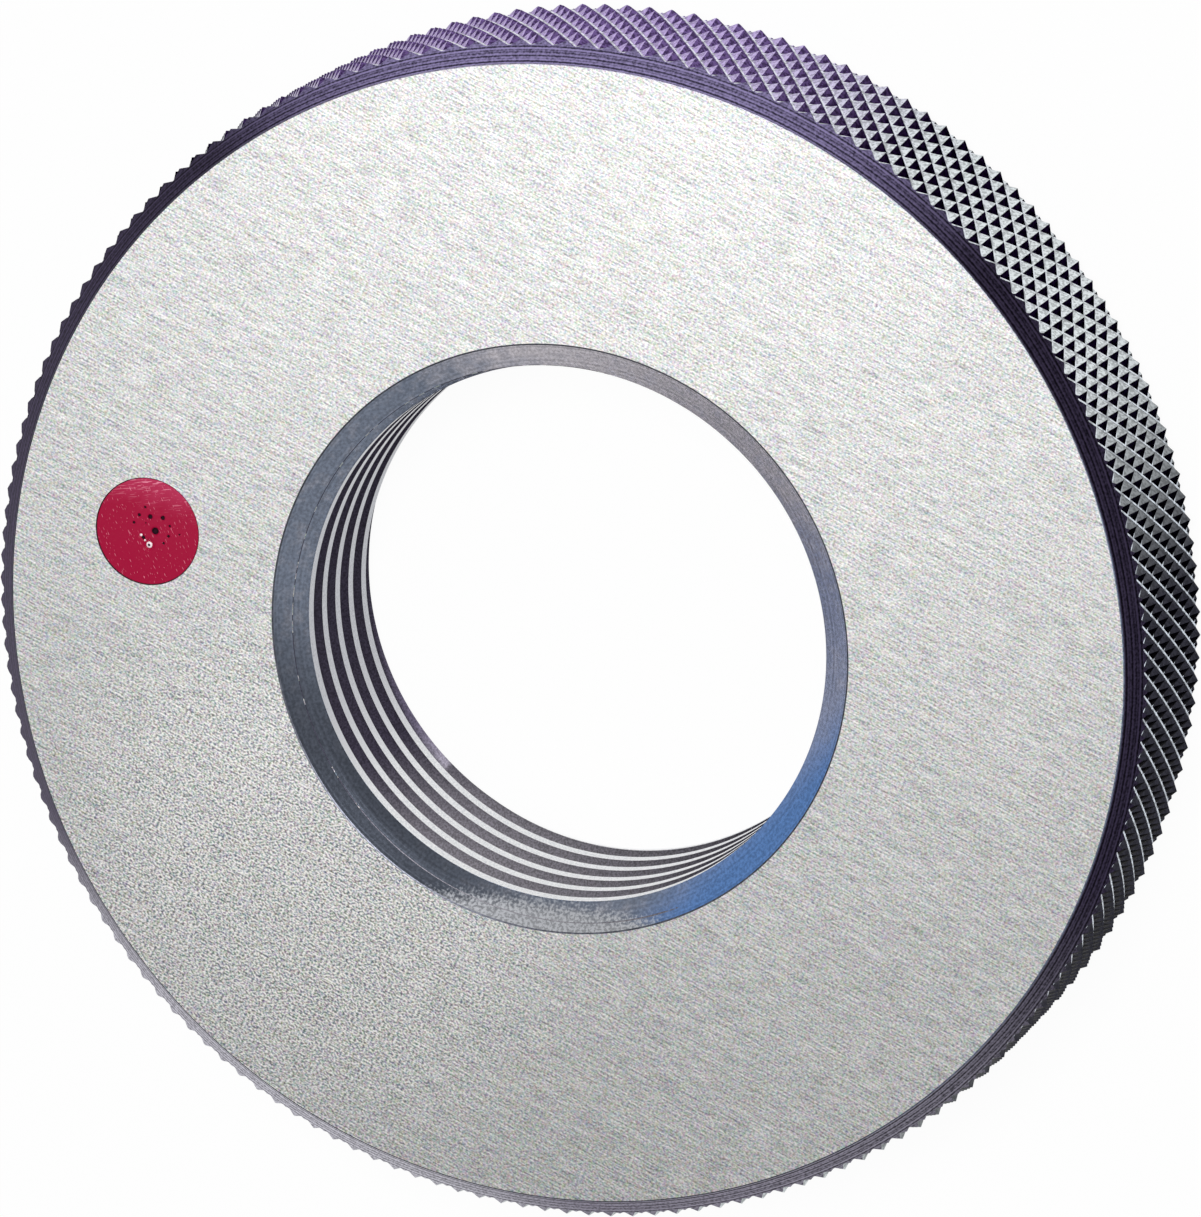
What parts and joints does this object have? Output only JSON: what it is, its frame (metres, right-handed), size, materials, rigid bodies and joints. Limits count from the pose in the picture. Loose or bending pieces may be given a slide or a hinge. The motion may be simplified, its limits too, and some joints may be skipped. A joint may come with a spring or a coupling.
{
  "type": "thread ring gauge",
  "caption": "Flat knurled steel ring with a truncated internal screw thread and a red colour marker, for checking that an external thread is not undersize.",
  "frame": {"origin": "centre of the back face, on the axis of the thread", "axes": "+Z along the axis of the thread towards the marked face; +Y from the axis towards the red marker; +X to the right as the marked face is seen with the marker at the top"},
  "size_m": [0.0624, 0.0624, 0.012],
  "materials": {
    "ground_steel": "hardened steel, faces ground to a fine satin, rim knurled, thread lapped",
    "red_lacquer": "glossy crimson lacquer with a few pinholes and light scratches"
  },
  "bodies": {
    "root": {"ring_body": "ground_steel", "red_marker": "red_lacquer"}
  },
  "joints": []
}
